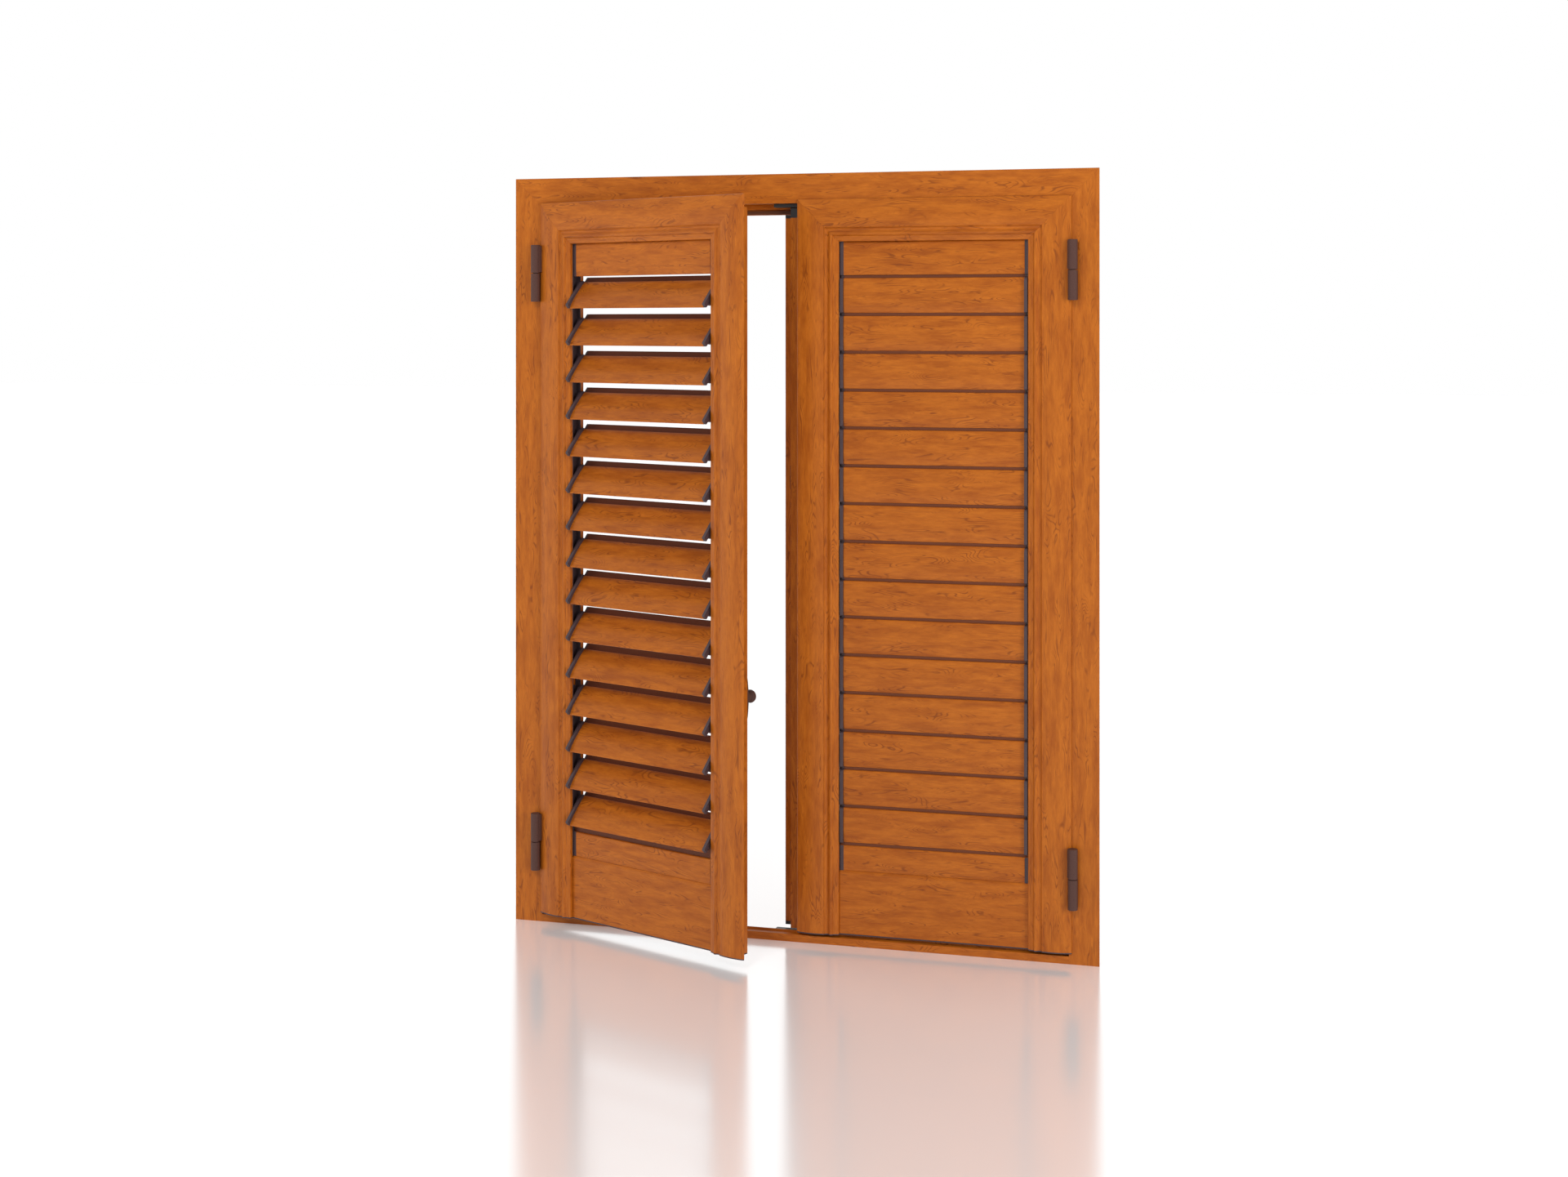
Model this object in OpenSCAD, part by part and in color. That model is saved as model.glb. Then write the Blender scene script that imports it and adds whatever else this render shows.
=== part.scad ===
// Pair of louvred shutters with tilting slats in their own frame, in extruded aluminium.
// +X runs to the right, +Y into the opening, +Z up. The frame's face lies in the plane Y = 0 and
// the origin is at the middle of the underside of the threshold, on that face.

/* [Frame] */
// Overall width of the frame
frame_w = 1025; // [900:5:1250]
// Overall height of the frame
frame_h = 1300; // [1060:5:1600]
// Width of the frame's visible face
face_w = 50; // [46:0.5:58]
// Depth of the frame from face to back
frame_depth = 45; // [41:0.5:56]
// Width of the flange that covers the edge of the wall
cover_w = 25; // [20:0.5:26]
// Thickness of that flange
cover_t = 2.5; // [2:0.1:3]
// Wall thickness of the frame's extrusion
frame_wall = 2; // [1.6:0.1:2.4]
// Height of the threshold's front part
threshold_h = 12.6; // [11:0.1:14]
// Height of the threshold's rain lip
threshold_lip_h = 16; // [15:0.1:16.4]

/* [Leaves] */
// Distance from the frame's outer edge to the edge of a leaf, at the sides
side_margin = 45; // [37.5:0.5:48]
// How much closer a leaf comes to the frame's top edge than to its sides
top_rise = 1.4; // [0:0.1:4]
// Height of the leaves' lower ends above the underside of the threshold
leaf_bottom = 19.5; // [19:0.1:24]
// Gap between the faces of the two closed leaves
leaf_gap = 4; // [3:0.1:6]
// Width of a stile's moulding, and of the top rail's
stile_w = 72; // [70:0.5:84]
// How far the leaf's front flange laps past its body
lap = 20; // [18:0.5:24]
// Depth of the leaf's back face behind the face of the frame
leaf_back = 31; // [28:0.5:37.5]
// Wall thickness of the leaf's extrusion
leaf_wall = 2; // [1.6:0.1:2.4]
// Height of the bottom rail
rail_h = 106; // [80:1:140]
// Angle that the left leaf stands open
left_open = 23; // [5:1:90]

/* [Slats] */
// Largest number of tilting slats in a leaf, which a lower frame has fewer of
slat_count = 15; // [3:1:15]
// Distance between two slats' pivots
slat_pitch = 63.68; // [53:0.01:77]
// Tilt of the left leaf's slats from closed
left_tilt = 40.6; // [0:0.1:90]
// Tilt of the right leaf's slats from closed
right_tilt = 0; // [0:0.1:90]
// Thickness of the plastic plate on a slat's end
end_plate_t = 5.6; // [4:0.1:6.5]
// Depth of the slats' pivots behind the face of the frame
pivot_y = 11; // [10.5:0.1:11.5]
// Diameter of a pivot pin
pivot_d = 5; // [4:0.1:6]
// Diameter of the crank pins that the rod takes
crank_d = 3; // [2.5:0.1:3.4]
// Distance of a crank pin from its slat's pivot
crank_r = 7.5; // [6.5:0.1:9]

/* [Hardware] */
// Diameter of a hinge knuckle
knuckle_d = 16; // [14:0.5:19.5]
// Height of a whole hinge
hinge_h = 99; // [80:1:120]
// Diameter of a hinge pin
hinge_pin_d = 8; // [6:0.5:9]
// Height of the middle of the lower hinges
hinge_low_z = 142; // [120:1:160]
// Distance of the upper hinges' middle below the top of the frame
hinge_top_drop = 166; // [150:1:200]
// Height of the slat control knobs
knob_z = 431; // [300:1:600]
// Diameter of a knob
knob_d = 22; // [18:0.5:26]
// Diameter of a shoot bolt
bolt_d = 8; // [6:0.5:9]
// Travel of a shoot bolt
bolt_travel = 13; // [11:0.5:13]
// Diameter of the holes for the frame's wall screws
fixing_d = 6.5; // [5:0.1:8]

/* [Hidden] */
$fn = 48;
e = 0.01;
fit = 0.1;
slack = 0.3;

// Frame, from its outer edge inwards
half_w = frame_w / 2;
inner_x = half_w - face_w;
step_w = side_margin + lap - face_w - 6;
step_y = leaf_back - 3;
stop_w = side_margin + lap - face_w + 3;
stop_y = leaf_back + 3;
seal_edge = 2;
cleat_arm = 60;
threshold_front = 14;
threshold_lip_t = 2.5;
threshold_base = 6;
keeper_h = 6;
keeper_drop = 0.5;
keeper_front = 8;
keeper_left = 42;
keeper_right = 14;

fixing_heights = [0.12, 0.5, 0.88];

// Leaves
leaf_x = half_w - side_margin;
leaf_w = leaf_x - leaf_gap / 2;
leaf_top = frame_h - side_margin + top_rise;
leaf_front = -3;
flange_y = -0.5;
inner_top = leaf_top - stile_w;
inner_bottom = leaf_bottom + rail_h;
rail_face = 4.5;
cap_t = 2;
hinge_out = 3.1;
hinge_x = leaf_x + hinge_out;
hinge_gap = 1.2;
hinge_block = [-0.6, 7.4];
hinge_leaf_block = 9.1;
hinge_pin_end = 5;
hinge_screw_u = 3.4;
hinge_screw_d = 4.8;
hinge_screw_in = 6;
hinge_y = -knuckle_d / 2 - 3.3;
hinge_top_z = frame_h - hinge_top_drop;

// Slats, measured from their pivot when closed
blade_low = -28.2;
blade_joint = 5.08;
blade_high = slat_pitch + blade_low - blade_joint;
blade_lip = 13.8;
lip_front = -1.1;
lip_back = 1;
top_board = 56.5;
blade_front = -5;
blade_back = 4.5;
plate_gap = 1.3;
panel_gap = 0.6;
blade_in = plate_gap + end_plate_t;
top_pivot_z = inner_top - top_board - slat_pitch - blade_low;
panel_least = 20;
room = top_pivot_z - inner_bottom - panel_least - slat_pitch + blade_high;
slats = min(slat_count, floor(room / slat_pitch) + 1);
low_pivot_z = top_pivot_z - (slats - 1) * slat_pitch;

// Bearing channels and control rod, from a stile's inner flank
channel_y = 4.2;
channel_w = leaf_back - channel_y - 6.5;
channel_d = 10;
channel_wall = 1.5;
rod_in = 3;
rod_t = 3;
crank_phase = 45;
rod_w = 2 * (crank_r * cos(crank_phase) - pivot_d / 2 - slack);
arm_front = pivot_y + crank_r * cos(crank_phase) - rod_t / 2 - 0.8;
arm_deep = crank_r * (1 - cos(crank_phase)) + rod_t + 1.8;
arm_h = 10;
arm_room = 2 * crank_r + arm_h;
rod_end = 8;
knob_u = 43.5;
knob_pin_d = 4;
knob_long = 108;
knob_wide = 28;
knob_thick = 15;
knob_edge = 11;
knob_middle = 34.5;
spindle_d = 10;

// Astragal on the closed leaf, from the leaf's free edge
ast_front = 13;
ast_side = 16;
ast_reach = 31;
ast_lip_y = leaf_back + 2.5;
ast_lip_t = 4;
ast_cap_in = 12;
ast_rear = 6;
ast_bottom = leaf_bottom;
ast_top = frame_h - face_w - 24;
ast_cap_top = frame_h - face_w - keeper_h - 1;
lip_cap_top = frame_h - face_w - stop_w - slack;
bolt_u = 1;
bolt_y = (ast_front + leaf_back) / 2;
tab_t = 5.4;
tab_out = 2.5;
tab_up = [764, 54];
tab_low = [126, 39];
bolt_top = frame_h - face_w - keeper_h - 8;
bolt_low = leaf_bottom - 2.5;

wood = [0.69, 0.38, 0.17];
dark = [0.25, 0.20, 0.21];
bronze = [0.36, 0.26, 0.25];
black = [0.16, 0.17, 0.17];
metal = [0.75, 0.75, 0.74];

function two(n) = str(n < 10 ? "0" : "", n);
SIDES = ["left", "right"];
SLATS = [for (s = SIDES) for (i = [1:slats]) str(s, "_slat_", two(i))];

function pivot_z(i) = top_pivot_z - i * slat_pitch;

// ---------- outlines ----------

// Points on a shallow bow from p to q that rises towards the front
function bow(p, q, rise, n = 8) =
    [for (i = [0:n]) let (s = i / n) p + (q - p) * s - [0, rise * 4 * s * (1 - s)]];

// Front of the leaf's moulding: u runs from the outer edge to the stile's inner edge
function moulding() = concat(
    [[0, flange_y], [0, leaf_front + 0.6]],
    bow([0.7, leaf_front - 0.4], [stile_w - 26, -6.6], 2.6, 12),
    bow([stile_w - 25, -6.2], [stile_w - 23.4, -6.2], 0.5, 4),
    bow([stile_w - 23, -5], [stile_w - 17, -4.2], -1.3, 6),
    bow([stile_w - 16.4, -4.6], [stile_w - 9.4, -4.4], 1.9, 8),
    [[stile_w - 8.8, -3.2], [stile_w - 5.6, -2.8], [stile_w - 5.2, -2.2], [stile_w - 0.8, -1.4],
     [stile_w, -0.6]]);

module leaf_outline(channel) {
    wall_u = stile_w - channel_d - leaf_wall;
    wall_y = leaf_back - leaf_wall;
    difference() {
        polygon(concat(moulding(), [[stile_w, leaf_back], [lap, leaf_back], [lap, flange_y]]));
        polygon([[lap + leaf_wall, -4.6], [stile_w - 28, -4], [stile_w - 23, -2.2],
                 [wall_u, -2.2], [wall_u, wall_y], [lap + leaf_wall, wall_y]]);
        if (channel)
            translate([stile_w - channel_d, channel_y]) square([channel_d + 1, channel_w]);
    }
}

// Section of the frame's head and jambs, u from the outer edge inwards
module frame_outline() {
    difference() {
        polygon([[0, 0], [face_w, 0], [face_w, step_y], [face_w + step_w, step_y],
                 [face_w + step_w, stop_y], [face_w + stop_w, stop_y], [face_w + stop_w, frame_depth],
                 [cover_w, frame_depth], [cover_w, cover_t], [0, cover_t]]);
        translate([cover_w + frame_wall, frame_wall])
            square([face_w - cover_w - 2 * frame_wall, frame_depth - 2 * frame_wall]);
        translate([face_w, stop_y + frame_wall])
            square([stop_w - frame_wall, frame_depth - stop_y - 2 * frame_wall]);
    }
}

// ---------- places ----------

// From the closed leaf's own frame, x from its hinged edge, to where the leaf stands
module on_left() {
    translate([-hinge_x, hinge_y, 0])
        rotate([0, 0, -left_open])
            translate([hinge_x - leaf_x, -hinge_y, 0]) children();
}

module on_right() {
    mirror([1, 0, 0]) translate([-leaf_x, 0, 0]) children();
}

// Runs a section along x, with its u pointing down from the height z
module along_x(length, z) {
    translate([0, 0, z]) rotate([0, 90, 0]) linear_extrude(length) children();
}

module along_y(y, depth) {
    translate([0, y + depth, 0]) rotate([90, 0, 0]) linear_extrude(depth) children();
}

// The part of a frontal view that a mitred head or top rail of this width takes
module mitre_zone(width, top, deep) {
    along_y(-30, 100) polygon([[-e, top + 1], [-e, top + e], [deep, top - deep],
                               [width - deep, top - deep], [width + e, top + e], [width + e, top + 1]]);
}

// ---------- frame ----------

module frame_head() {
    color(wood) translate([-half_w, 0, 0]) intersection() {
        along_x(frame_w, frame_h) frame_outline();
        mitre_zone(frame_w, frame_h, face_w + stop_w);
    }
}

module jamb() {
    difference() {
        linear_extrude(frame_h) frame_outline();
        mitre_zone(frame_w, frame_h, face_w + stop_w);
        for (z = hinge_screws())
            translate([half_w - hinge_x - hinge_screw_u, -1, z])
                rotate([-90, 0, 0]) cylinder(d = hinge_screw_d + 2 * fit, h = hinge_screw_in + 2);
        for (s = fixing_heights)
            translate([cover_w - 1, frame_depth / 2, frame_h * s])
                rotate([0, 90, 0]) cylinder(d = fixing_d, h = face_w);
    }
}

module frame_jambs() {
    color(wood) for (s = [0, 1]) mirror([s, 0, 0]) translate([-half_w, 0, 0]) jamb();
}

module frame_threshold() {
    color(wood) difference() {
        translate([-inner_x, 0, 0]) rotate([90, 0, 90]) linear_extrude(2 * inner_x) difference() {
            polygon([[0, 0], [frame_depth, 0], [frame_depth, threshold_base],
                     [threshold_front + threshold_lip_t, threshold_base],
                     [threshold_front + threshold_lip_t, threshold_lip_h],
                     [threshold_front, threshold_lip_h], [threshold_front, threshold_h],
                     [0, threshold_h]]);
            translate([frame_wall, frame_wall])
                square([threshold_front - frame_wall, threshold_h - 2 * frame_wall]);
        }
        for (s = [-1, 1]) translate([s * inner_x, 0, 0])
            translate([-stop_w - slack, step_y - slack, -1]) cube([2 * (stop_w + slack), 60, 30]);
        bolt_hole(20);
    }
}

// Angle pieces pressed into the hollow of head and jamb behind each mitre
module frame_corner_cleats() {
    thick = face_w - cover_w - 2 * frame_wall - 2 * fit;
    deep = frame_depth - 2 * frame_wall - 2 * fit;
    at = cover_w + frame_wall + fit;
    color(metal) for (s = [0, 1]) mirror([s, 0, 0])
        translate([-half_w + at, frame_wall + fit, frame_h - at]) difference() {
            translate([0, 0, -cleat_arm]) cube([cleat_arm, deep, cleat_arm]);
            translate([thick, -1, -cleat_arm - 1])
                cube([cleat_arm, deep + 2, cleat_arm + 1 - thick]);
        }
}

// Rubber seal on the front of the stop, which the closed leaves lie against
module frame_seal() {
    in = face_w + step_w + seal_edge;
    wide = stop_w - step_w - seal_edge - 1;
    thick = stop_y - leaf_back - slack;
    low = threshold_base + 4;
    color(black) difference() {
        translate([-half_w + in, stop_y - thick, low])
            cube([frame_w - 2 * in, thick, frame_h - in - low]);
        translate([-half_w + in + wide, stop_y - thick - 1, low - 1])
            cube([frame_w - 2 * (in + wide), thick + 2, frame_h - in - wide - low + 1]);
    }
}

module bolt_hole(h) {
    translate([leaf_gap / 2 + bolt_u, bolt_y, -1]) cylinder(d = bolt_d + 0.8, h = h);
}

module keeper(front, height) {
    difference() {
        translate([-keeper_left, front, 0])
            cube([keeper_left + keeper_right, step_y - front, height]);
        bolt_hole(height + 2);
    }
}

// Keepers under the head and on the threshold that take the shoot bolts of the closed leaf
module bolt_keepers() {
    color(black) {
        translate([0, 0, frame_h - face_w - keeper_h]) keeper(keeper_front, keeper_h);
        translate([0, 0, threshold_base])
            keeper(threshold_front + threshold_lip_t, threshold_lip_h - threshold_base - keeper_drop);
    }
}

// ---------- hinges ----------

// Heights of the screws that hold the frame's hinge halves
function hinge_screws() = [for (z = [hinge_low_z, hinge_top_z]) for (s = [0.42, 0.14]) z - hinge_h * s];

// Lower half with its pin, standing on the jamb's face
module hinge_frame_half(z) {
    half = hinge_h / 2;
    translate([0, 0, z - half]) cylinder(d = knuckle_d, h = half - hinge_gap / 2);
    translate([0, 0, z - half + hinge_pin_end])
        cylinder(d = hinge_pin_d, h = hinge_h - 2 * hinge_pin_end - 1);
    translate([hinge_block[0], 0, z - half + 1]) cube([hinge_block[1], -hinge_y, half - 3]);
}

module frame_hinge_halves() {
    color(bronze) for (s = [0, 1]) mirror([s, 0, 0])
        translate([hinge_x, hinge_y, 0]) {
            for (z = [hinge_low_z, hinge_top_z]) hinge_frame_half(z);
            for (z = hinge_screws())
                translate([hinge_screw_u, 0, z]) rotate([-90, 0, 0])
                    cylinder(d = hinge_screw_d, h = hinge_screw_in - hinge_y);
        }
}

// Upper halves, seated on the leaf's front edge, in the closed leaf's own frame
module leaf_hinge_halves() {
    color(bronze) for (z = [hinge_low_z, hinge_top_z]) difference() {
        translate([-hinge_out, hinge_y, z]) difference() {
            union() {
                translate([0, 0, hinge_gap / 2]) cylinder(d = knuckle_d, h = (hinge_h - hinge_gap) / 2);
                translate([0, 0, 2])
                    cube([hinge_leaf_block, leaf_front + 0.6 - hinge_y, hinge_h / 2 - 4]);
            }
            translate([0, 0, -1])
                cylinder(d = hinge_pin_d + 2 * fit, h = hinge_h / 2 - hinge_pin_end + 1);
        }
        linear_extrude(frame_h) polygon(concat(moulding(), [[stile_w, leaf_back], [0, leaf_back]]));
    }
}

// ---------- leaf frames ----------

module stile(slotted) {
    color(wood) difference() {
        translate([0, 0, leaf_bottom]) linear_extrude(leaf_top - leaf_bottom) leaf_outline(true);
        mitre_zone(leaf_w, leaf_top, stile_w);
        for (i = [0:slats - 1])
            translate([stile_w - channel_d - leaf_wall - 1, pivot_y, pivot_z(i)])
                rotate([0, 90, 0]) cylinder(d = pivot_d + 1, h = channel_d);
        if (slotted) {
            translate([stile_w - channel_d - leaf_wall - 1, arm_front, knob_z - arm_room / 2])
                cube([channel_d, arm_deep, arm_room]);
            translate([knob_u, leaf_back - leaf_wall - 1, knob_z])
                rotate([-90, 0, 0]) cylinder(d = spindle_d + 4 * fit, h = leaf_wall + 2);
        }
    }
}

module leaf_stiles() {
    stile(false);
    translate([leaf_w, 0, 0]) mirror([1, 0, 0]) stile(true);
}

module leaf_top_rail() {
    color(wood) intersection() {
        along_x(leaf_w, leaf_top) leaf_outline(false);
        mitre_zone(leaf_w, leaf_top, stile_w);
    }
}

// Plain rail between the stiles, set back from their moulding
module leaf_bottom_rail() {
    color(wood) translate([stile_w, 0, leaf_bottom]) rotate([90, 0, 90])
        linear_extrude(leaf_w - 2 * stile_w) difference() {
            polygon([[rail_face, 0], [leaf_back, 0], [leaf_back, rail_h], [rail_face + 2.5, rail_h],
                     [rail_face, rail_h - 4]]);
            translate([rail_face + leaf_wall, leaf_wall])
                square([leaf_back - rail_face - 2 * leaf_wall, rail_h - 2 * leaf_wall - 4]);
        }
}

// Plate that closes the lower ends of stiles and rail
module leaf_bottom_cap() {
    color(dark) translate([0, 0, leaf_bottom - cap_t]) linear_extrude(cap_t) {
        polygon(concat(moulding(), [[stile_w, rail_face], [leaf_w - stile_w, rail_face]],
            [for (i = [len(moulding()) - 1:-1:0]) [leaf_w - moulding()[i][0], moulding()[i][1]]],
            [[leaf_w - lap, flange_y], [leaf_w - lap, leaf_back], [lap, leaf_back], [lap, flange_y]]));
    }
}

// ---------- slats ----------

// Lip above a slat's upper edge, which goes behind the lower edge of the next slat
function lip_points(high) = [[lip_back, high + blade_lip - 0.6], [lip_back - 0.6, high + blade_lip],
    [lip_front + 0.6, high + blade_lip], [lip_front, high + blade_lip - 0.6]];

// Section of a slat's blade about its pivot: x is depth, y is height
module blade_outline(low = blade_low, high = blade_high, lip = true, notch = true) {
    difference() {
        polygon(concat(
            [[blade_front + 0.4, high - 1.2], [blade_front, high - 3]],
            bow([blade_front, low + 14], [blade_front + 0.9, low + 0.6], 0.4, 5),
            [[blade_front + 1.6, low], [blade_front + 2.4, low], [blade_front + 2.8, low + 0.6]],
            notch ? [[blade_front + 2.8, low + 8], [blade_front + 3.6, low + 9.2],
                     [blade_back - 1, low + 9.2]] : [],
            [[blade_back, notch ? low + 10.2 : low + 0.6], [blade_back, high - 5], [lip_back, high - 1.4]],
            lip ? concat(lip_points(high), [[lip_front, high]]) : [[0, high]],
            [[blade_front + 1.4, high], [blade_front + 0.4, high - 1.2]]));
        polygon([[blade_front + 1.5, low + 12], [blade_back - 1.5, low + 12],
                 [blade_back - 1.5, high - 6.5], [0, high - 3], [blade_front + 1.5, high - 3]]);
    }
}

// Outline of the moulded plate on each end of a slat, proud of the blade's face
module plate_outline() {
    nose = blade_front - 5.8;
    polygon(concat(
        [[nose + 1.2, blade_low + 0.2], [blade_front + 2.4, blade_low - 0.4],
         [blade_front + 2.8, blade_low + 0.4], [blade_front + 2.8, blade_low + 7.2]],
        [for (a = [150:-30:90]) [blade_front + 5.2 + 2.4 * cos(a), blade_low + 7.8 + 1.6 * sin(a)]],
        [[blade_back, blade_low + 9.6], [blade_back, blade_high - 6], [lip_back, blade_high]],
        lip_points(blade_high),
        [[lip_front, blade_high + 0.8], [blade_front, blade_high + 0.8],
         [blade_front - 3, blade_high - 0.6], [nose, blade_high - 8], [nose, blade_low + 1.6]]));
    translate(crank_r * [cos(crank_phase), sin(crank_phase)]) circle(d = crank_d + 3.2);
}

// One slat about its pivot, x from the hinge stile's inner flank, with the crank on the far end
module slat() {
    span = leaf_w - 2 * stile_w;
    color(wood) translate([blade_in, 0, 0]) rotate([90, 0, 90])
        linear_extrude(span - 2 * blade_in) blade_outline();
    color(dark) {
        for (x = [plate_gap, span - blade_in])
            translate([x, 0, 0]) rotate([90, 0, 90]) linear_extrude(end_plate_t) plate_outline();
        for (x = [-channel_d - 0.5, span - 1.5])
            translate([x, 0, 0]) rotate([0, 90, 0]) cylinder(d = pivot_d, h = channel_d + 2);
        translate([span - 2, crank_r * cos(crank_phase), crank_r * sin(crank_phase)])
            rotate([0, 90, 0]) cylinder(d = crank_d, h = 2 + rod_in + rod_t + 0.5);
    }
}

module slat_at(i, tilt) {
    translate([stile_w, pivot_y, pivot_z(i)]) rotate([-tilt, 0, 0]) slat();
}

// Fixed boards above and below the slats, with their own end plates against the stiles
module fixed_panel(low, high, pivot, top) {
    span = leaf_w - 2 * stile_w;
    under = top ? low + 9.6 : low;
    front = pivot_y + blade_front + 0.6;
    color(wood) translate([stile_w + blade_in, pivot_y, pivot]) rotate([90, 0, 90])
        linear_extrude(span - 2 * blade_in)
            blade_outline(low = low - pivot, high = high - pivot, lip = !top, notch = top);
    color(dark) for (x = [panel_gap, span - blade_in]) translate([stile_w + x, front, 0]) {
        translate([0, 0, under])
            cube([blade_in - panel_gap, blade_back - blade_front - 0.6, high - under]);
        if (top) translate([0, 0, low]) cube([blade_in - panel_gap, 2.2, under - low + 1]);
        else translate([0, lip_front - blade_front - 0.6, high - 1])
            cube([blade_in - panel_gap, lip_back - lip_front, blade_lip + 1]);
    }
}

module leaf_fixed_panels() {
    above = pivot_z(-1);
    below = pivot_z(slats);
    fixed_panel(above + blade_low, inner_top, above, true);
    fixed_panel(inner_bottom, below + blade_high, below, false);
}

// ---------- slat control ----------

// Channel with a bearing hole for each pivot, let into the inner flank of both stiles
module bearing_channel() {
    bottom = inner_bottom + slack;
    top = inner_top - slack;
    translate([-channel_d, channel_y, 0]) difference() {
        translate([fit / 2, fit, bottom])
            cube([channel_d - fit / 2, channel_w - 2 * fit, top - bottom]);
        translate([channel_wall, channel_wall + fit, bottom - 1])
            cube([channel_d, channel_w - 2 * (channel_wall + fit), top - bottom + 2]);
        for (i = [0:slats - 1])
            translate([-1, pivot_y - channel_y, pivot_z(i)])
                rotate([0, 90, 0]) cylinder(d = pivot_d + 2 * fit, h = channel_wall + 2);
        translate([-1, arm_front - channel_y, knob_z - arm_room / 2])
            cube([channel_wall + 2, arm_deep, arm_room]);
    }
}

module leaf_bearing_channels() {
    color(dark) {
        translate([stile_w, 0, 0]) bearing_channel();
        translate([leaf_w - stile_w, 0, 0]) mirror([1, 0, 0]) bearing_channel();
    }
}

// Flat rod that joins the crank pins, with a slotted arm that the knob's crank drives
module leaf_control_rod(tilt) {
    a = crank_phase - tilt;
    y = pivot_y + crank_r * cos(a);
    z = crank_r * sin(a);
    x = leaf_w - stile_w + rod_in;
    near = leaf_w - knob_u - crank_r - knob_pin_d / 2 - fit;
    far = leaf_w - knob_u - crank_r * cos(crank_phase) + knob_pin_d / 2 + fit;
    color(metal) difference() {
        union() {
            translate([x, y - rod_w / 2, low_pivot_z + z - rod_end])
                cube([rod_t, rod_w, top_pivot_z - low_pivot_z + 2 * rod_end]);
            translate([x, y - rod_t / 2, knob_z + z - arm_h / 2]) cube([far + 2 - x, rod_t, arm_h]);
        }
        for (i = [0:slats - 1])
            translate([x - 1, y, pivot_z(i) + z])
                rotate([0, 90, 0]) cylinder(d = crank_d + 2 * fit, h = rod_t + 2);
        translate([near, y - rod_w, knob_z + z - knob_pin_d / 2 - fit])
            cube([far - near, 2 * rod_w, knob_pin_d + 2 * fit]);
    }
}

// Boat-shaped base on the inside of the meeting stile
module leaf_knob_base() {
    half = knob_long / 2;
    color(bronze) translate([leaf_w - knob_u, leaf_back, knob_z]) difference() {
        intersection() {
            along_y(0, knob_thick) polygon([for (t = [0:15:345])
                [knob_wide / 2 * sign(cos(t)) * pow(abs(cos(t)), 0.4), half * sin(t)]]);
            translate([-knob_wide, 0, 0]) rotate([90, 0, 90]) linear_extrude(2 * knob_wide)
                polygon(concat([[0, -half]], [for (t = [0:16]) let (s = t / 16)
                    [knob_edge + (knob_thick - knob_edge) * 4 * s * (1 - s), half * (2 * s - 1)]],
                    [[0, half]]));
        }
        translate([0, -1, 0]) rotate([-90, 0, 0])
            cylinder(d = spindle_d + 2 * fit, h = knob_thick + 2);
    }
}

// Turned knob with its spindle and the crank inside the stile
module leaf_knob(tilt) {
    inside = leaf_wall + 4;
    neck = knob_thick + slack;
    color(bronze) translate([leaf_w - knob_u, leaf_back, knob_z]) {
        rotate([-90, 0, 0]) rotate_extrude() polygon(concat(
            [[0, -inside], [spindle_d / 2, -inside], [spindle_d / 2, neck], [8, neck], [7, neck + 4]],
            [for (b = [-45:15:90]) [knob_d / 2 * cos(b), knob_middle + 9 * sin(b)]],
            [[0, knob_middle + 9]]));
        rotate([0, crank_phase - tilt, 0]) translate([0, -inside, 0]) {
            rotate([90, 0, 0]) cylinder(d = spindle_d, h = 2);
            translate([-crank_r, -2, -knob_pin_d / 2]) cube([crank_r, 2, knob_pin_d]);
            translate([-crank_r, 0, 0]) rotate([90, 0, 0]) cylinder(d = knob_pin_d, h = 13);
        }
    }
}

// ---------- meeting edge of the closed leaf ----------

module on_free_edge() {
    on_right() translate([leaf_w, 0, 0]) mirror([1, 0, 0]) children();
}

module astragal_outline() {
    polygon([[lap, ast_front], [lap, leaf_back], [ast_rear - ast_side, leaf_back],
             [ast_rear - ast_side, ast_lip_y + ast_lip_t], [-ast_reach, ast_lip_y + ast_lip_t],
             [-ast_reach, ast_lip_y], [-ast_side, ast_lip_y], [-ast_side, ast_front]]);
}

// Hollow bar on the leaf's free edge that the other leaf closes against, with a plastic cap on top
module right_astragal() {
    hollow = [lap + ast_side - 2 * leaf_wall, leaf_back - ast_front - 2 * leaf_wall];
    on_free_edge() difference() {
        union() {
            color(wood) translate([0, 0, ast_bottom]) linear_extrude(ast_top - ast_bottom)
                astragal_outline();
            color(black) translate([-ast_side, ast_front, ast_top])
                cube([ast_side + ast_cap_in, step_y - slack - ast_front, ast_cap_top - ast_top]);
            color(black) translate([-ast_reach, ast_lip_y, ast_top])
                cube([ast_reach + ast_rear - ast_side, ast_lip_t, lip_cap_top - ast_top]);
        }
        translate([-ast_side + leaf_wall, ast_front + leaf_wall, ast_bottom - 1])
            linear_extrude(ast_top - ast_bottom + 1) square(hollow);
        translate([bolt_u, bolt_y, ast_top - 1]) cylinder(d = bolt_d + 2 * fit, h = 60);
        for (s = [tab_up, tab_low])
            translate([-ast_side - 1, bolt_y - tab_t / 2 - slack, s[0]])
                cube([leaf_wall + 2, tab_t + 2 * slack, s[1]]);
    }
}

// Shoot bolt with the finger tab that slides in the astragal's slot
module bolt(from, to, tab_z, tab_h) {
    color(bronze) on_free_edge() {
        translate([bolt_u, bolt_y, from]) cylinder(d = bolt_d, h = to - from);
        translate([-ast_side - tab_out, bolt_y - tab_t / 2, tab_z])
            cube([ast_side + tab_out + bolt_u, tab_t, tab_h]);
    }
}

module right_top_bolt() {
    bolt(tab_up[0] + 0.5, bolt_top, tab_up[0] + 0.5, tab_up[1] - bolt_travel - 1);
}

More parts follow.
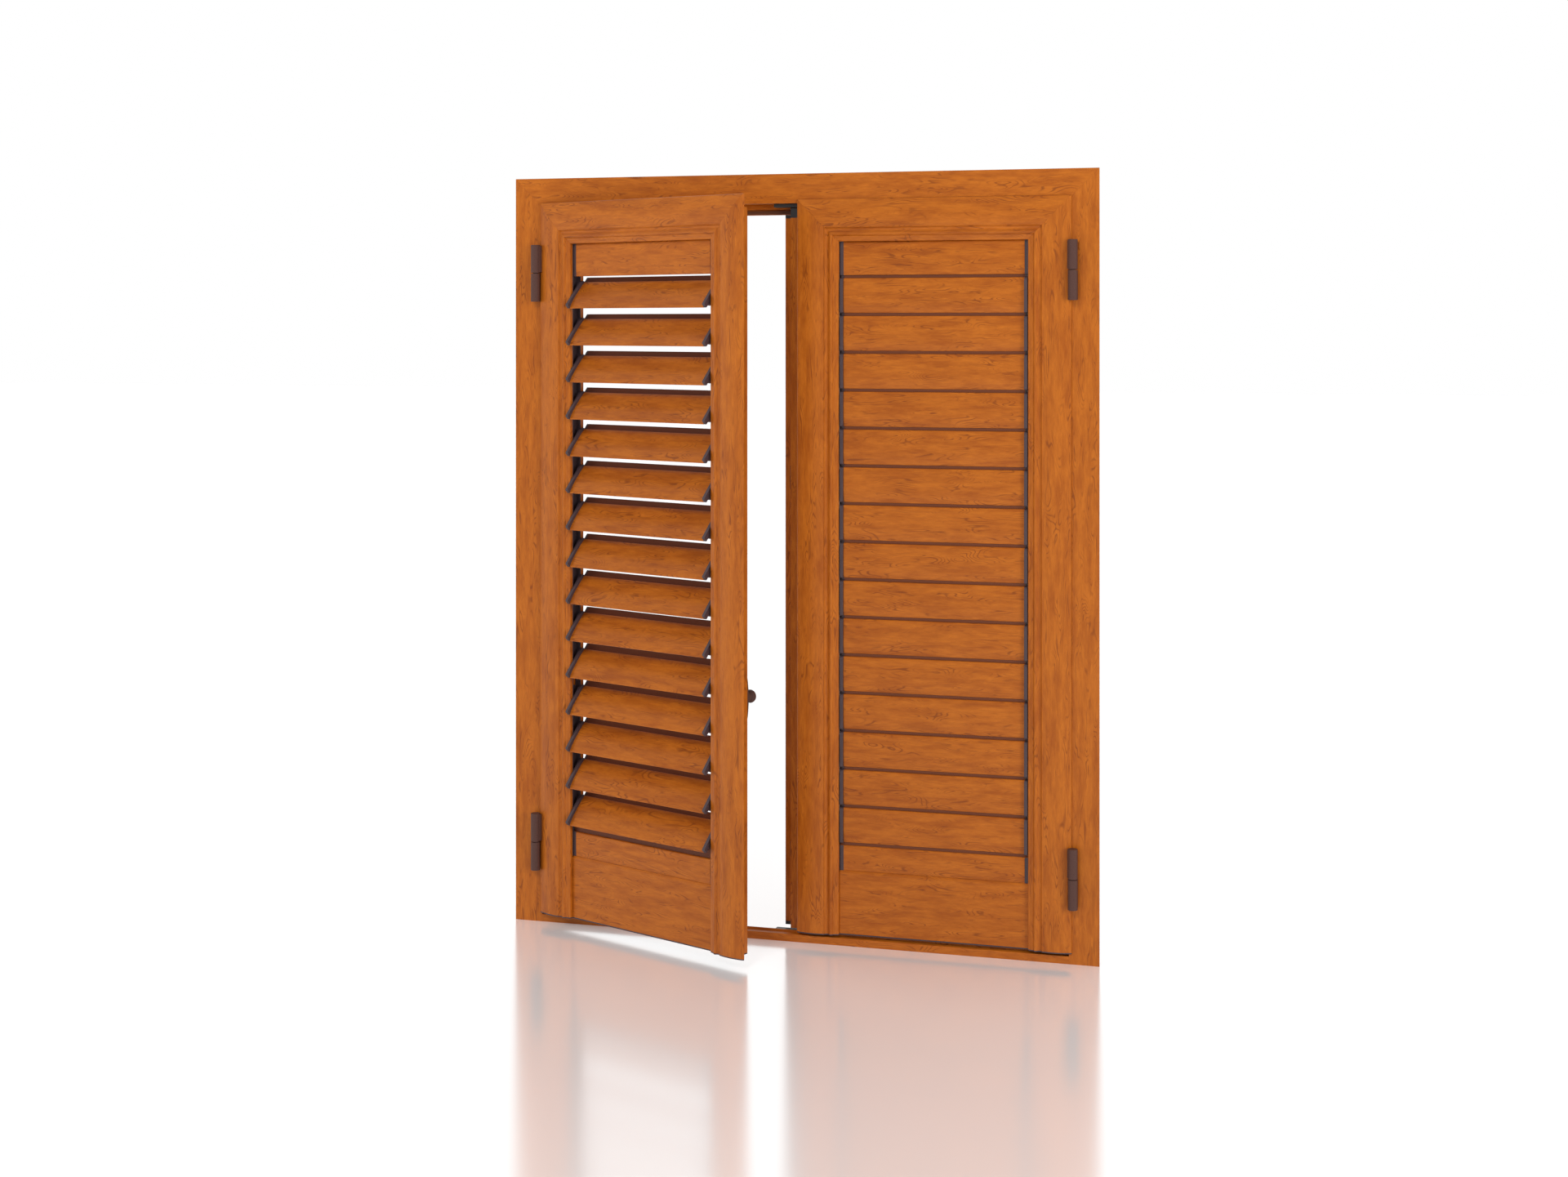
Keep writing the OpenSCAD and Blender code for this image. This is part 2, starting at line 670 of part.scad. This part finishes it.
module right_bottom_bolt() {
    bolt(bolt_low, tab_low[0] + tab_low[1] - 0.5, tab_low[0] + bolt_travel + 0.5,
         tab_low[1] - bolt_travel - 1);
}

// ---------- drawing ----------

frame_head();
frame_jambs();
frame_threshold();
frame_corner_cleats();
frame_seal();
frame_hinge_halves();
bolt_keepers();
on_left() leaf_stiles();  // left_stiles
on_left() leaf_top_rail();  // left_top_rail
on_left() leaf_bottom_rail();  // left_bottom_rail
on_left() leaf_fixed_panels();  // left_fixed_panels
on_left() leaf_bearing_channels();  // left_bearing_channels
on_left() leaf_control_rod(left_tilt);  // left_control_rod
on_left() leaf_knob_base();  // left_knob_base
on_left() leaf_knob(left_tilt);  // left_knob
on_left() leaf_bottom_cap();  // left_bottom_cap
on_left() leaf_hinge_halves();  // left_hinge_halves
on_right() leaf_stiles();  // right_stiles
on_right() leaf_top_rail();  // right_top_rail
on_right() leaf_bottom_rail();  // right_bottom_rail
on_right() leaf_fixed_panels();  // right_fixed_panels
on_right() leaf_bearing_channels();  // right_bearing_channels
on_right() leaf_control_rod(right_tilt);  // right_control_rod
on_right() leaf_knob_base();  // right_knob_base
on_right() leaf_knob(right_tilt);  // right_knob
on_right() leaf_bottom_cap();  // right_bottom_cap
on_right() leaf_hinge_halves();  // right_hinge_halves
right_astragal();
right_top_bolt();
right_bottom_bolt();
for (i = [1:slats]) {
    on_left() slat_at(i - 1, left_tilt);
    on_right() slat_at(i - 1, right_tilt);
}
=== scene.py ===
"""Louvred shutters in their frame: wood-effect coated aluminium with dark plastic fittings.

Lengths are in millimetres where a name or a comment says so, and become metres through MM.
+X runs to the right, +Y into the opening, +Z up, with the origin under the threshold.
"""

import math

import bmesh
import bpy
from mathutils import Matrix, Vector


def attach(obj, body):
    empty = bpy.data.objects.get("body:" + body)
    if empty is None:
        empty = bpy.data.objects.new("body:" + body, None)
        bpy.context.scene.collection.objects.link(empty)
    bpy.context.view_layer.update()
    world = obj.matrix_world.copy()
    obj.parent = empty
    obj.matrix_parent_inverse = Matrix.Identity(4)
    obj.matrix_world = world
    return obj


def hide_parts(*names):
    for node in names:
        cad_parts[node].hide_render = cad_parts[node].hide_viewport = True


MM = 0.001

# ---------- sizes, in millimetres ----------

HINGE_X, HINGE_Y = 470.6, -11.3     # axis of a leaf's hinges
LEAF_EDGE = 467.5                   # hinged edge of a closed leaf
LEAF_WIDTH = 465.5
STILE = 72.0                        # width of a stile
LEFT_OPEN = math.radians(23)        # how far the left leaf stands open
LEFT_TILT = math.radians(40.6)      # tilt of the left leaf's slats from closed
PIVOT_DEPTH = 11.0                  # of the slats' pivots, behind the frame's face
TOP_PIVOT = 1092.42                 # height of the highest slat's pivot
PITCH = 63.68
SLATS = 15
END_GAP, END_THICK = 1.3, 5.6       # running gap and thickness of a slat's end plate
CHANNEL_DEPTH = 10.0                # of the bearing channel in the stile's flank
SPAN = LEAF_WIDTH - 2 * STILE       # between the stiles
CRANK = 7.5                         # from a slat's pivot to its crank pin
LEAF_BACK = 31.0                    # depth of a leaf's back behind the frame's face
ASTRAGAL_LOW, ASTRAGAL_TOP = 19.5, 1226.0
LIP_CAP = 6.0                       # plastic cap on the foot of the astragal's rear lip
EASE = 0.5                          # radius on the coated bars' edges
PIVOT_RADIUS, BOSS_RADIUS, PIN_RADIUS = 2.5, 3.1, 1.5   # slat's pivot, crank boss and crank pin
PIN_LENGTH = 8.5
CRANK_ANGLE = math.radians(45)      # of the crank pin above the pivot's depth
LOW_BOARD_TOP = 167.7               # height of the lower fixed board, without its lip
LIP_REACH = 20.0                    # a height above it that takes in all of the lip
BLADE_TOP = 30.5                    # height of a blade's edge above its pivot, without the lip
LIP_DEPTH = 1.5                     # behind the leaf's back, past which the astragal's lip starts
MERGE = 2e-6                        # metres: corners closer than this are one corner
FLAT = math.radians(0.3)            # faces that turn by less are one flat face
SHARP = math.radians(20)            # edges that turn by more are drawn sharp

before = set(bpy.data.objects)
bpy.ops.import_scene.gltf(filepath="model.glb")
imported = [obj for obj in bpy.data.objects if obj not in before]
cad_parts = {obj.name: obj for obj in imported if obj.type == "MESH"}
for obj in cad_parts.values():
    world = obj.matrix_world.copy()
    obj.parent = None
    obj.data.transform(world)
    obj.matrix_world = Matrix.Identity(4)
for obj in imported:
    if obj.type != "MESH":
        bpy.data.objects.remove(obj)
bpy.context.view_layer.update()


# ---------- materials ----------

def linear(hex_colour):
    """An sRGB hex colour as linear red, green, blue and alpha."""
    parts = [int(hex_colour[i:i + 2], 16) / 255 for i in (1, 3, 5)]
    return [c / 12.92 if c <= 0.04045 else ((c + 0.055) / 1.055) ** 2.4 for c in parts] + [1.0]


def new_material(name):
    """A material and its Principled shader."""
    material = bpy.data.materials.new(name)
    material.use_nodes = True
    return material, material.node_tree.nodes["Principled BSDF"]


def add(owner, kind, settings=None, links=None, **values):
    """Adds a node to a material or world, with its settings, links and values."""
    node = owner.node_tree.nodes.new("ShaderNode" + kind)
    for key, value in (settings or {}).items():
        setattr(node, key, value)
    for key, value in values.items():
        node.inputs[key.replace("_", " ")].default_value = value
    for key, source in (links or {}).items():
        if isinstance(source, bpy.types.NodeSocket):
            owner.node_tree.links.new(source, node.inputs[key])
        else:
            node.inputs[key].default_value = source
    return node


def two_tone(material, noise, low, high):
    """A colour that runs between two (position, hex colour) stops of a noise."""
    tone = add(material, "ValToRGB", links={"Fac": noise.outputs["Fac"]})
    for stop, (position, colour) in zip(tone.color_ramp.elements, (low, high)):
        stop.position, stop.color = position, linear(colour)
    return tone


def wood_coat(name, size, turn=0.0, shift=(0, 0, 0)):
    """Powder-coated aluminium with a printed wood figure, grained along the largest of size.

    The print gives soft darker contours that close on themselves, fine streaks and short pores.
    size is the figure's length, depth and height in millimetres, and turn is the leaf's opening.
    """
    material, shader = new_material(name)
    place = add(material, "TexCoord")

    def stretched(share):
        """Object coordinates in units of the figure's size times share."""
        return add(material, "Mapping", {"vector_type": "TEXTURE"},
                   {"Vector": place.outputs["Object"]}, Location=[v * MM for v in shift],
                   Rotation=(0, 0, -turn),
                   Scale=[v * share * MM for v in size]).outputs["Vector"]

    # Cathedral lines, about 3 mm apart across the grain, where the figure is strongest
    contour = add(material, "TexNoise", links={"Vector": stretched(1.0)},
                  Scale=1.0, Detail=2.0, Roughness=0.5, Distortion=0.4)
    rings = add(material, "Math", {"operation": "MULTIPLY"}, {0: contour.outputs["Fac"], 1: 150.0})
    wave = add(material, "Math", {"operation": "SINE"}, {0: rings.outputs[0]})
    line = add(material, "MapRange", links={"Value": wave.outputs[0]},
               From_Min=0.35, From_Max=1.0, To_Min=0.0, To_Max=0.8)
    patch = add(material, "TexNoise", links={"Vector": stretched(0.45)}, Scale=1.0, Detail=1.0)
    where = add(material, "MapRange", links={"Value": patch.outputs["Fac"]},
                From_Min=0.48, From_Max=0.64, To_Min=0.12, To_Max=1.0)
    figure = add(material, "Math", {"operation": "MULTIPLY"},
                 {0: line.outputs["Result"], 1: where.outputs["Result"]})
    streak = add(material, "TexNoise", links={"Vector": stretched(0.14)},
                 Scale=1.0, Detail=5.0, Roughness=0.65)
    cloud = add(material, "TexNoise", links={"Vector": stretched(0.5)},
                Scale=1.0, Detail=3.0, Roughness=0.6)
    pore = add(material, "TexNoise", links={"Vector": stretched(0.045)},
               Scale=1.0, Detail=2.0, Roughness=0.5)

    base = two_tone(material, streak, (0.25, "#A85814"), (0.75, "#C06C1D"))
    shade = two_tone(material, cloud, (0.32, "#E2D6CC"), (0.58, "#FFFFFF"))
    clouded = add(material, "Mix", {"data_type": "RGBA", "blend_type": "MULTIPLY"},
                  {"Factor": 1.0, 6: base.outputs["Color"], 7: shade.outputs["Color"]})
    lined = add(material, "Mix", {"data_type": "RGBA"},
                {"Factor": figure.outputs[0], 6: clouded.outputs[2], 7: linear("#7E3D10")})
    pores = add(material, "MapRange", links={"Value": pore.outputs["Fac"]},
                From_Min=0.60, From_Max=0.80, To_Min=0.0, To_Max=0.25)
    porous = add(material, "Mix", {"data_type": "RGBA"},
                 {"Factor": pores.outputs["Result"], 6: lined.outputs[2], 7: linear("#743810")})
    material.node_tree.links.new(porous.outputs[2], shader.inputs["Base Color"])

    # The powder's faint orange peel, about 1.5 mm from crest to crest
    peel = add(material, "TexNoise", links={"Vector": place.outputs["Object"]},
               Scale=1 / (1.5 * MM), Detail=1.0)
    bump = add(material, "Bump", links={"Height": peel.outputs["Fac"]},
               Strength=0.06, Distance=0.2 * MM)
    material.node_tree.links.new(bump.outputs["Normal"], shader.inputs["Normal"])
    gloss = add(material, "MapRange", links={"Value": streak.outputs["Fac"]},
                To_Min=0.34, To_Max=0.46)
    material.node_tree.links.new(gloss.outputs["Result"], shader.inputs["Roughness"])
    shader.inputs["IOR"].default_value = 1.35
    return material


def speckled(name, dark, light, roughness, grit, depth, metallic=0.0, ior=1.5):
    """A moulded or cast surface whose colour and gloss vary over grains of grit millimetres."""
    material, shader = new_material(name)
    place = add(material, "TexCoord")
    grain = add(material, "TexNoise", links={"Vector": place.outputs["Object"]},
                Scale=1 / (grit * MM), Detail=3.0, Roughness=0.6)
    tone = two_tone(material, grain, (0.35, dark), (0.65, light))
    material.node_tree.links.new(tone.outputs["Color"], shader.inputs["Base Color"])
    gloss = add(material, "MapRange", links={"Value": grain.outputs["Fac"]},
                To_Min=roughness - 0.06, To_Max=roughness + 0.06)
    material.node_tree.links.new(gloss.outputs["Result"], shader.inputs["Roughness"])
    bump = add(material, "Bump", links={"Height": grain.outputs["Fac"]},
               Strength=0.15, Distance=depth * MM)
    material.node_tree.links.new(bump.outputs["Normal"], shader.inputs["Normal"])
    shader.inputs["Metallic"].default_value = metallic
    if not metallic:
        shader.inputs["IOR"].default_value = ior
    return material


LYING = (150, 60, 26)       # figure along X: length, depth, height in millimetres
STANDING = (26, 60, 150)    # figure along Z
coat = {
    "frame_lying": wood_coat("wood_effect_coat_lying", LYING),
    "frame_standing": wood_coat("wood_effect_coat_standing", STANDING, shift=(7, 0, 130)),
    "left_lying": wood_coat("wood_effect_coat_left_lying", LYING, LEFT_OPEN, (90, 0, 11)),
    "left_standing": wood_coat("wood_effect_coat_left_standing", STANDING, LEFT_OPEN, (19, 0, 60)),
    "right_lying": wood_coat("wood_effect_coat_right_lying", LYING, shift=(210, 0, 5)),
    "right_standing": wood_coat("wood_effect_coat_right_standing", STANDING, shift=(3, 0, 290)),
}
# Glass-filled nylon, moulded: dark brown-grey, dull, with a fine spark-eroded texture
nylon = speckled("moulded_nylon_dark_brown", "#3E3135", "#4A3C40", 0.50, 0.8, 0.05)
# Black ABS, moulded
black_abs = speckled("moulded_abs_black", "#1C1C1D", "#262727", 0.42, 0.8, 0.05)
# Die-cast zinc under a dark bronze coat, satin
bronze = speckled("coated_zinc_bronze", "#4A312B", "#563B34", 0.5, 1.2, 0.06, ior=1.35)
# EPDM rubber, extruded: dark brown to suit the coat, and dull
rubber = speckled("extruded_rubber_brown", "#55301C", "#633A22", 0.75, 1.0, 0.04)
# Painted shade: the rear lip that closes the joint between two slats is the coat's wood, painted a
# dark brown that stands in for the shade on it; dull
lip_painted_shade = speckled("lip_painted_shade_dark_brown", "#62341E", "#703D26", 0.55, 1.0, 0.04, ior=1.4)
# Mill-finish aluminium
mill = speckled("mill_finish_aluminium", "#B9BABA", "#C8C9C9", 0.38, 2.0, 0.03, metallic=1.0)


# ---------- places ----------

def leaf_place(side):
    """From a closed leaf's own frame, x from its hinged edge, to where the leaf stands."""
    if side == "left":
        return (Matrix.Translation(Vector((-HINGE_X, HINGE_Y, 0)) * MM)
                @ Matrix.Rotation(-LEFT_OPEN, 4, "Z")
                @ Matrix.Translation(Vector((HINGE_X - LEAF_EDGE, -HINGE_Y, 0)) * MM))
    return Matrix.Translation(Vector((LEAF_EDGE, 0, 0)) * MM) @ Matrix.Scale(-1, 4, (1, 0, 0))


def slat_place(side, number):
    """From a slat's own frame about its pivot, x from the hinged stile's flank, to where it is."""
    tilt = LEFT_TILT if side == "left" else 0.0
    pivot = Vector((STILE, PIVOT_DEPTH, TOP_PIVOT - (number - 1) * PITCH)) * MM
    return leaf_place(side) @ Matrix.Translation(pivot) @ Matrix.Rotation(-tilt, 4, "X")


# ---------- pieces ----------

def finished(mesh, name, body, materials, place=None, stands_for=()):
    """Makes the bmesh an object of that name that rides on a body, with its place in its mesh."""
    if place is not None:
        bmesh.ops.transform(mesh, matrix=place, verts=mesh.verts)
        if place.determinant() < 0:
            bmesh.ops.reverse_faces(mesh, faces=mesh.faces)
    data = bpy.data.meshes.new(name)
    mesh.to_mesh(data)
    mesh.free()
    for material in materials:
        data.materials.append(material)
    data.shade_smooth()
    data.set_sharp_from_angle(angle=SHARP)
    piece = bpy.data.objects.new(name, data)
    bpy.context.scene.collection.objects.link(piece)
    if stands_for:
        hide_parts(*stands_for)
    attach(piece, body)
    return piece


def eased_edges(mesh, radius, bend=30):
    """Rounds the mesh's edges that turn by more than bend degrees."""
    edges = [edge for edge in mesh.edges
             if len(edge.link_faces) == 2 and edge.calc_face_angle(0) > math.radians(bend)]
    bmesh.ops.bevel(mesh, geom=edges, offset=radius * MM, offset_type="OFFSET", affect="EDGES",
                    segments=2, profile=0.5, material=-1, clamp_overlap=True)
    return mesh


def eased_copy(node, radius):
    """The CAD node's shape with its edges rounded, where they turn by more than 28 degrees."""
    mesh = bmesh.new()
    mesh.from_mesh(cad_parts[node].data)
    bmesh.ops.remove_doubles(mesh, verts=mesh.verts, dist=MERGE)
    bmesh.ops.dissolve_limit(mesh, angle_limit=FLAT, verts=mesh.verts, edges=mesh.edges)
    eased_edges(mesh, radius, bend=28)
    for face in mesh.faces:
        face.material_index = 0
    return mesh


def eased_node(node, radius, body, material):
    """Stands for the CAD node in one finish, with its edges rounded."""
    finished(eased_copy(node, radius), node + "_eased", body, [material], stands_for=[node])


def coated_bars(node, body, material):
    """Extruded bars of the frame or a leaf, with the coat's softened edges."""
    finished(eased_copy(node, EASE), node + "_coated", body, [material],
             stands_for=[node])


def extruded(points, length):
    """A bar whose section is the points (depth, height), along x from 0, all in millimetres."""
    mesh = bmesh.new()
    ring = [mesh.verts.new((0, y * MM, z * MM)) for y, z in points]
    face = mesh.faces.new(ring)
    sweep = bmesh.ops.extrude_face_region(mesh, geom=[face])
    far_end = [item for item in sweep["geom"] if isinstance(item, bmesh.types.BMVert)]
    bmesh.ops.translate(mesh, verts=far_end, vec=(length * MM, 0, 0))
    bmesh.ops.recalc_face_normals(mesh, faces=mesh.faces)
    return mesh


# Sections as (depth, height) about the slat's pivot
BLADE = [(-3.7, 30.4), (-4.7, 29.7), (-5.15, 28.0), (-5.5, 22), (-5.8, 14), (-5.95, 6), (-6.0, -1),
         (-5.9, -7), (-5.65, -12), (-5.2, -16.5), (-4.6, -20.5), (-3.9, -24), (-3.2, -26.6),
         (-2.7, -27.7), (-2.1, -28.2), (-1.7, -27.6), (-1.8, -24), (-2.3, -20.4), (-1.4, -19.0),
         (3.5, -19.0), (4.5, -18.0), (4.5, 25.4), (1.0, 29.0), (1.0, 43.6), (0.5, 44.2),
         (-0.6, 44.2), (-1.1, 43.6), (-1.1, 30.4)]


def arc(cy, cz, ry, rz, start, stop, steps):
    """Points (depth, height) on an ellipse's arc, by degrees."""
    turns = [math.radians(start + (stop - start) * i / steps) for i in range(steps + 1)]
    return [(cy + ry * math.cos(a), cz + rz * math.sin(a)) for a in turns]


END_PLATE = ([(-9.6, -28.0), (-2.6, -28.6), (-2.2, -27.8), (-2.2, -21.0)]
             + arc(0.2, -20.4, 2.4, 1.6, 150, 90, 3)
             + [(4.5, -18.6), (4.5, 24.4), (1.0, 30.4), (1.0, 43.6), (0.4, 44.2), (-0.5, 44.2),
                (-1.1, 43.6), (-1.1, 31.2), (-5.0, 31.2), (-8.0, 29.8), (-10.3, 25.4),
                (-10.8, 22.4), (-10.8, -26.6)])


def joined(meshes):
    """One bmesh that holds them all."""
    whole = bmesh.new()
    for mesh in meshes:
        data = bpy.data.meshes.new("part")
        mesh.to_mesh(data)
        whole.from_mesh(data)
        mesh.free()
        bpy.data.meshes.remove(data)
    return whole


def moved(mesh, x):
    """The mesh, shifted along x by that many millimetres."""
    bmesh.ops.translate(mesh, verts=mesh.verts, vec=(x * MM, 0, 0))
    return mesh


def pin(radius, length, x, y=0.0, z=0.0):
    """A round pin along x from there, in millimetres."""
    mesh = bmesh.new()
    middle = Matrix.Translation(Vector((x + length / 2, y, z)) * MM)
    bmesh.ops.create_cone(mesh, cap_ends=True, segments=20, radius1=radius * MM,
                          radius2=radius * MM, depth=length * MM,
                          matrix=middle @ Matrix.Rotation(math.pi / 2, 4, "Y"))
    return mesh


def slat(side, number):
    """One tilting slat: a blade with a moulded plate and pivot at each end, and a crank pin."""
    node = f"{side}_slat_{number:02d}"
    place = slat_place(side, number)
    blade = moved(extruded(BLADE, SPAN - 2 * (END_GAP + END_THICK)), END_GAP + END_THICK)
    for face in blade.faces:
        # The lip's faces take the second slot, a dark brown painted shade for the wood in the
        # slat's shadow
        in_lip = face.calc_center_median().z > BLADE_TOP * MM and abs(face.normal.x) < 0.5
        face.material_index = 1 if in_lip else 0
    finished(blade, node + "_blade", node, [coat[side + "_lying"], lip_painted_shade],
             place, stands_for=[node])
    plates = [moved(eased_edges(extruded(END_PLATE, END_THICK), 0.7), x)
              for x in (END_GAP, SPAN - END_GAP - END_THICK)]
    crank = CRANK * math.cos(CRANK_ANGLE)
    pins = [pin(PIVOT_RADIUS, CHANNEL_DEPTH + 2, x) for x in (-CHANNEL_DEPTH - 0.5, SPAN - 1.5)]
    pins += [pin(BOSS_RADIUS, END_THICK - 0.6, x + 0.3, crank, crank)
             for x in (END_GAP, SPAN - END_GAP - END_THICK)]
    pins += [pin(PIN_RADIUS, PIN_LENGTH, SPAN - 2, crank, crank)]
    finished(joined(plates + pins), node + "_ends", node, [nylon], place)


def fixed_boards(side):
    """The fixed boards above and below the slats, with wood-effect faces and plastic ends."""
    node = f"{side}_fixed_panels"
    mesh = eased_copy(node, 0.4)
    back = leaf_place(side).inverted()
    plate = STILE + END_GAP + END_THICK     # from the leaf's edge to the end plate's inner side
    first, last = plate * MM, (LEAF_WIDTH - plate) * MM
    for face in mesh.faces:
        middle = back @ face.calc_center_median()
        # The lower board's lip takes the third slot, the same dark brown painted shade
        in_lip = LOW_BOARD_TOP * MM < middle.z < (LOW_BOARD_TOP + LIP_REACH) * MM
        in_board = first - 1e-5 < middle.x < last + 1e-5
        face.material_index = (2 if in_lip else 0) if in_board else 1
    finished(mesh, node + "_boards", f"{side}_leaf",
             [coat[side + "_lying"], nylon, lip_painted_shade], stands_for=[node])


# ---------- frame ----------

coated_bars("frame_head", "frame", coat["frame_lying"])
coated_bars("frame_jambs", "frame", coat["frame_standing"])
coated_bars("frame_threshold", "frame", coat["frame_lying"])
for node, body, radius, slot, material in [
        ("frame_hinge_halves", "frame", 0.7, "bronze", bronze),
        ("bolt_keepers", "frame", 0.6, "black_plastic", black_abs)]:
    eased_node(node, radius, body, material)

# ---------- leaves ----------

for side in ("left", "right"):
    leaf = side + "_leaf"
    coated_bars(side + "_stiles", leaf, coat[side + "_standing"])
    coated_bars(side + "_top_rail", leaf, coat[side + "_lying"])
    coated_bars(side + "_bottom_rail", leaf, coat[side + "_lying"])
    fixed_boards(side)
    for number in range(1, SLATS + 1):
        slat(side, number)
    for part, body, radius, slot, material in [
            ("hinge_halves", leaf, 0.7, "bronze", bronze),
            ("knob_base", leaf, 0.8, "bronze", bronze),
            ("knob", side + "_knob", 0.3, "bronze", bronze),
            ("bottom_cap", leaf, 0.4, "black_plastic", nylon)]:
        eased_node(f"{side}_{part}", radius, body, material)

# ---------- meeting edge ----------

astragal = eased_copy("right_astragal", EASE)
for height in (ASTRAGAL_TOP, ASTRAGAL_LOW + LIP_CAP):
    geometry = astragal.verts[:] + astragal.edges[:] + astragal.faces[:]
    bmesh.ops.bisect_plane(astragal, geom=geometry, dist=1e-6,
                           plane_co=(0, 0, height * MM), plane_no=(0, 0, 1))
for face in astragal.faces:
    middle = face.calc_center_median() / MM
    foot = middle.z < ASTRAGAL_LOW + LIP_CAP and middle.y > LEAF_BACK + LIP_DEPTH
    face.material_index = 1 if middle.z > ASTRAGAL_TOP or foot else 0
finished(astragal, "right_astragal_coated", "right_leaf",
         [coat["right_standing"], black_abs], stands_for=["right_astragal"])

for node, material in [
        ("frame_corner_cleats", mill), ("frame_seal", rubber), ("left_bearing_channels", nylon),
        ("right_bearing_channels", nylon), ("left_control_rod", mill), ("right_control_rod", mill),
        ("right_top_bolt", bronze), ("right_bottom_bolt", bronze)]:
    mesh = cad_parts[node].data
    mesh.materials.clear()
    mesh.materials.append(material)

# ---------- floor, light and camera ----------

floor = bmesh.new()
bmesh.ops.create_grid(floor, x_segments=1, y_segments=1, size=30)
floor_mesh = bpy.data.meshes.new("studio_floor")
floor.to_mesh(floor_mesh)
floor.free()
pale, pale_shader = new_material("pale_studio_floor")
pale_shader.inputs["Base Color"].default_value = linear("#FFFFFF")
pale_shader.inputs["Metallic"].default_value = 0.5
pale_shader.inputs["Roughness"].default_value = 0.16
pale_shader.inputs["Emission Color"].default_value = (1, 1, 1, 1)
pale_shader.inputs["Emission Strength"].default_value = 0.15
floor_mesh.materials.append(pale)
studio_floor = bpy.data.objects.new("studio_floor", floor_mesh)
bpy.context.scene.collection.objects.link(studio_floor)


def soft_box(name, place, aim, size, watts):
    """A square area light at a place that faces a point, both in metres, unseen in reflections."""
    light = bpy.data.lights.new(name, "AREA")
    light.energy, light.size = watts, size
    lamp = bpy.data.objects.new(name, light)
    lamp.visible_glossy = False
    lamp.location = place
    lamp.rotation_euler = (Vector(aim) - Vector(place)).to_track_quat("-Z", "Y").to_euler()
    bpy.context.scene.collection.objects.link(lamp)


soft_box("key", (-0.3, -4.0, 3.3), (0, 0, 0.7), 1.3, 84)
soft_box("side", (-4.4, -2.1, 1.0), (-0.2, -0.1, 0.65), 1.9, 52)
soft_box("fill", (4.0, -2.6, 1.3), (0, 0, 0.6), 1.8, 100)

# White behind the object and dimmer in front of it as light; white where it is seen directly,
# and nearly white all round in reflections
world = bpy.data.worlds.new("white_studio")
world.use_nodes = True
bpy.context.scene.world = world
place = add(world, "TexCoord")
axes = add(world, "SeparateXYZ", links={0: place.outputs["Generated"]})
depth = add(world, "MapRange", links={"Value": axes.outputs["Y"]},
            From_Min=-0.3, From_Max=0.6, To_Min=0.2, To_Max=1.0)
path = add(world, "LightPath")
mirrored = add(world, "Math", {"operation": "MULTIPLY"},
               {0: path.outputs["Is Glossy Ray"], 1: 0.92})
seen = add(world, "Math", {"operation": "MAXIMUM"},
           {0: mirrored.outputs[0], 1: path.outputs["Is Camera Ray"]})
strength = add(world, "Math", {"operation": "MAXIMUM"},
               {0: depth.outputs["Result"], 1: seen.outputs[0]})
background = world.node_tree.nodes["Background"]
background.inputs["Color"].default_value = (1, 1, 1, 1)
world.node_tree.links.new(strength.outputs[0], background.inputs["Strength"])

bpy.context.scene.view_settings.view_transform = "Standard"

CAMERA_PLACE = (1.01697, -3.57225, 1.0449)    # metres
CAMERA_TURN = 0.283                           # radians to the left of straight ahead
lens = bpy.data.cameras.new("camera")
lens.sensor_width = 36
lens.lens = 50.4
lens.shift_y = -0.1684
lens.clip_end = 200
camera = bpy.data.objects.new("camera", lens)
camera.location = CAMERA_PLACE
camera.rotation_euler = (math.pi / 2, 0, CAMERA_TURN)
bpy.context.scene.collection.objects.link(camera)
bpy.context.scene.camera = camera
